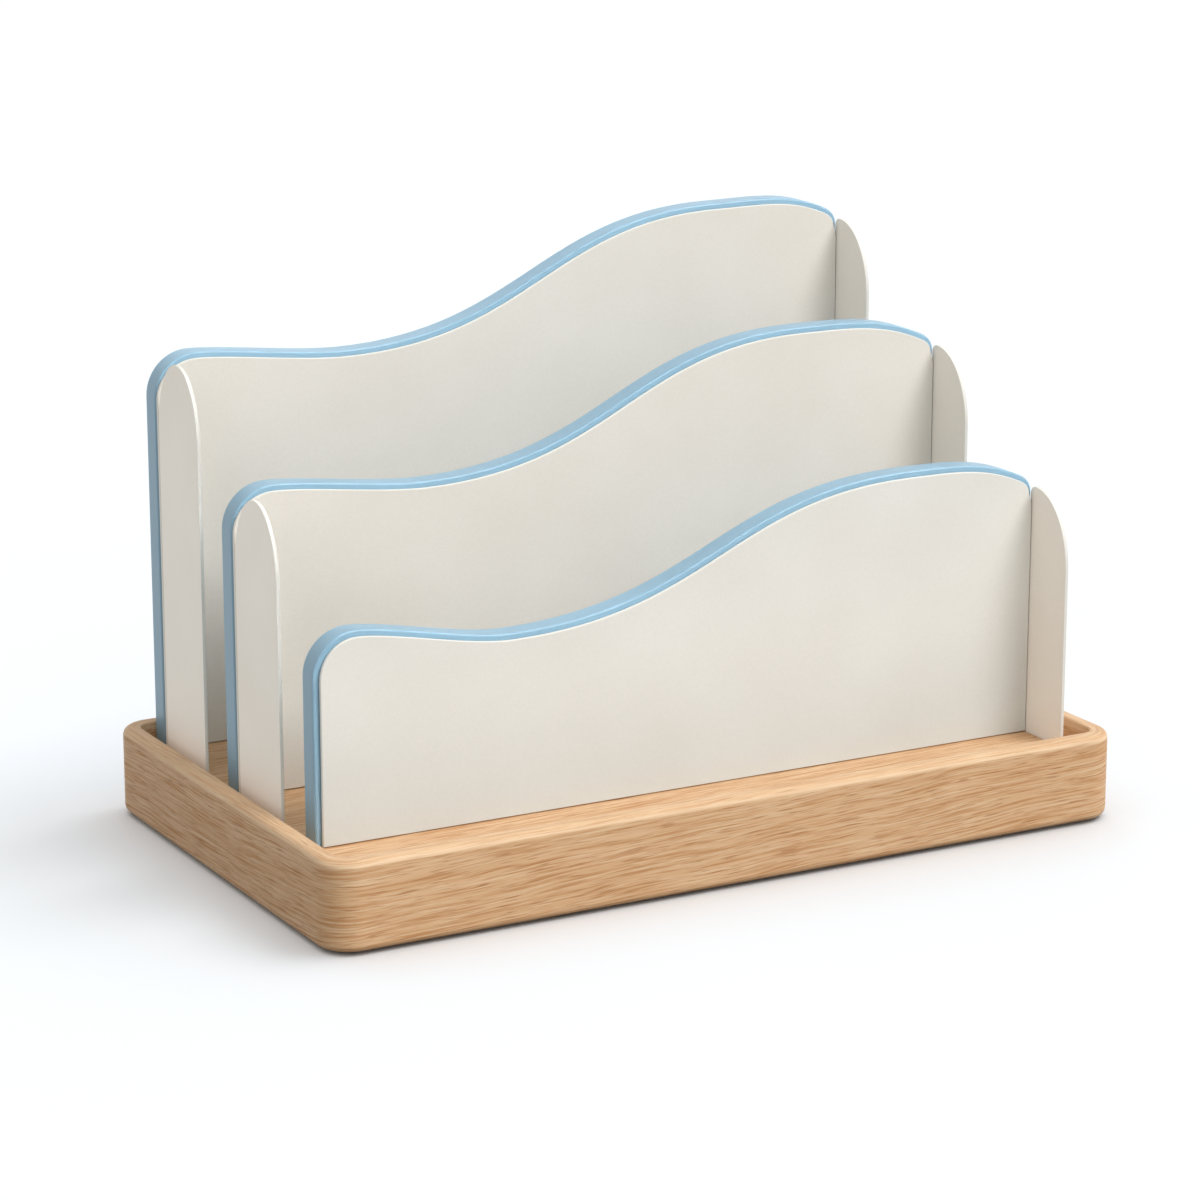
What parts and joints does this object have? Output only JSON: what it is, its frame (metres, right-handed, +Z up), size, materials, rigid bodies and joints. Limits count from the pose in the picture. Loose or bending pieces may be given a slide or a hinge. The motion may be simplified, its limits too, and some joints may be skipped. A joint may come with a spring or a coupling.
{
  "type": "desk document sorter",
  "caption": "Desk document sorter: wave-topped panels in rising steps, each with a cream facing and side wings, stand upright in a shallow oak tray.",
  "frame": {"origin": "middle of the footprint, on the surface that the felt pads rest on", "axes": "+X to the right along the panels, -Y to the front, where the lowest panel stands, +Z up"},
  "size_m": [0.336, 0.2, 0.2208],
  "materials": {
    "oak": "satin clear lacquer on light oak",
    "blue_panel": "satin pale blue lacquer on fibreboard",
    "cream_coat": "matt cream powder coat",
    "screw_steel": "zinc plated",
    "felt": "dense grey felt"
  },
  "bodies": {
    "root": {"oak_tray": "oak", "foot_pad_front_left": "felt", "foot_pad_front_right": "felt", "foot_pad_rear_left": "felt", "foot_pad_rear_right": "felt", "rear_panel": "blue_panel", "rear_facing": "cream_coat", "rear_wing_left": "cream_coat", "rear_wing_right": "cream_coat", "rear_screw_left": "screw_steel", "rear_screw_centre": "screw_steel", "rear_screw_right": "screw_steel", "middle_panel": "blue_panel", "middle_facing": "cream_coat", "middle_wing_left": "cream_coat", "middle_wing_right": "cream_coat", "middle_screw_left": "screw_steel", "middle_screw_centre": "screw_steel", "middle_screw_right": "screw_steel", "front_panel": "blue_panel", "front_facing": "cream_coat", "front_wing_right": "cream_coat", "front_screw_left": "screw_steel", "front_screw_centre": "screw_steel", "front_screw_right": "screw_steel"}
  },
  "joints": []
}
